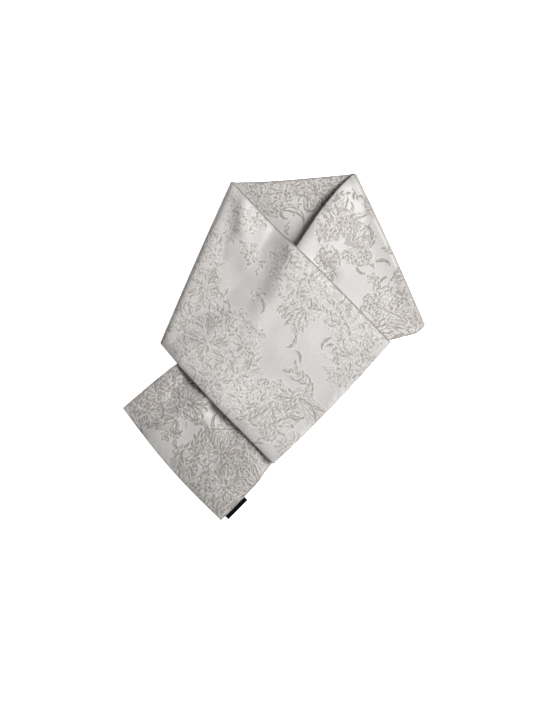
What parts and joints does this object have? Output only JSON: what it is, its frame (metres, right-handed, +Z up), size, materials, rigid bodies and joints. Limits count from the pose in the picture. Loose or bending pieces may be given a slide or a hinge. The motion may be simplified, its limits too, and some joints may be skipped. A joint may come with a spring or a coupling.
{
  "type": "padded scarf",
  "caption": "Padded floral jacquard scarf lying flat, folded and crossed over the way it is worn round a neck.",
  "frame": {"origin": "on the table, under the middle of the folded scarf's outline", "axes": "+Y towards the neck edge, +X to the right as seen from above, +Z up from the table"},
  "size_m": [0.4534, 0.5213, 0.0243],
  "materials": {
    "jacquard": "silver-grey satin jacquard with a darker matt floral figure, padded",
    "label_tape": "black woven satin tape, left bare"
  },
  "bodies": {
    "root": {"neck_stretch": "jacquard", "under_stretch": "jacquard", "over_stretch": "jacquard", "label": "label_tape"}
  },
  "joints": []
}
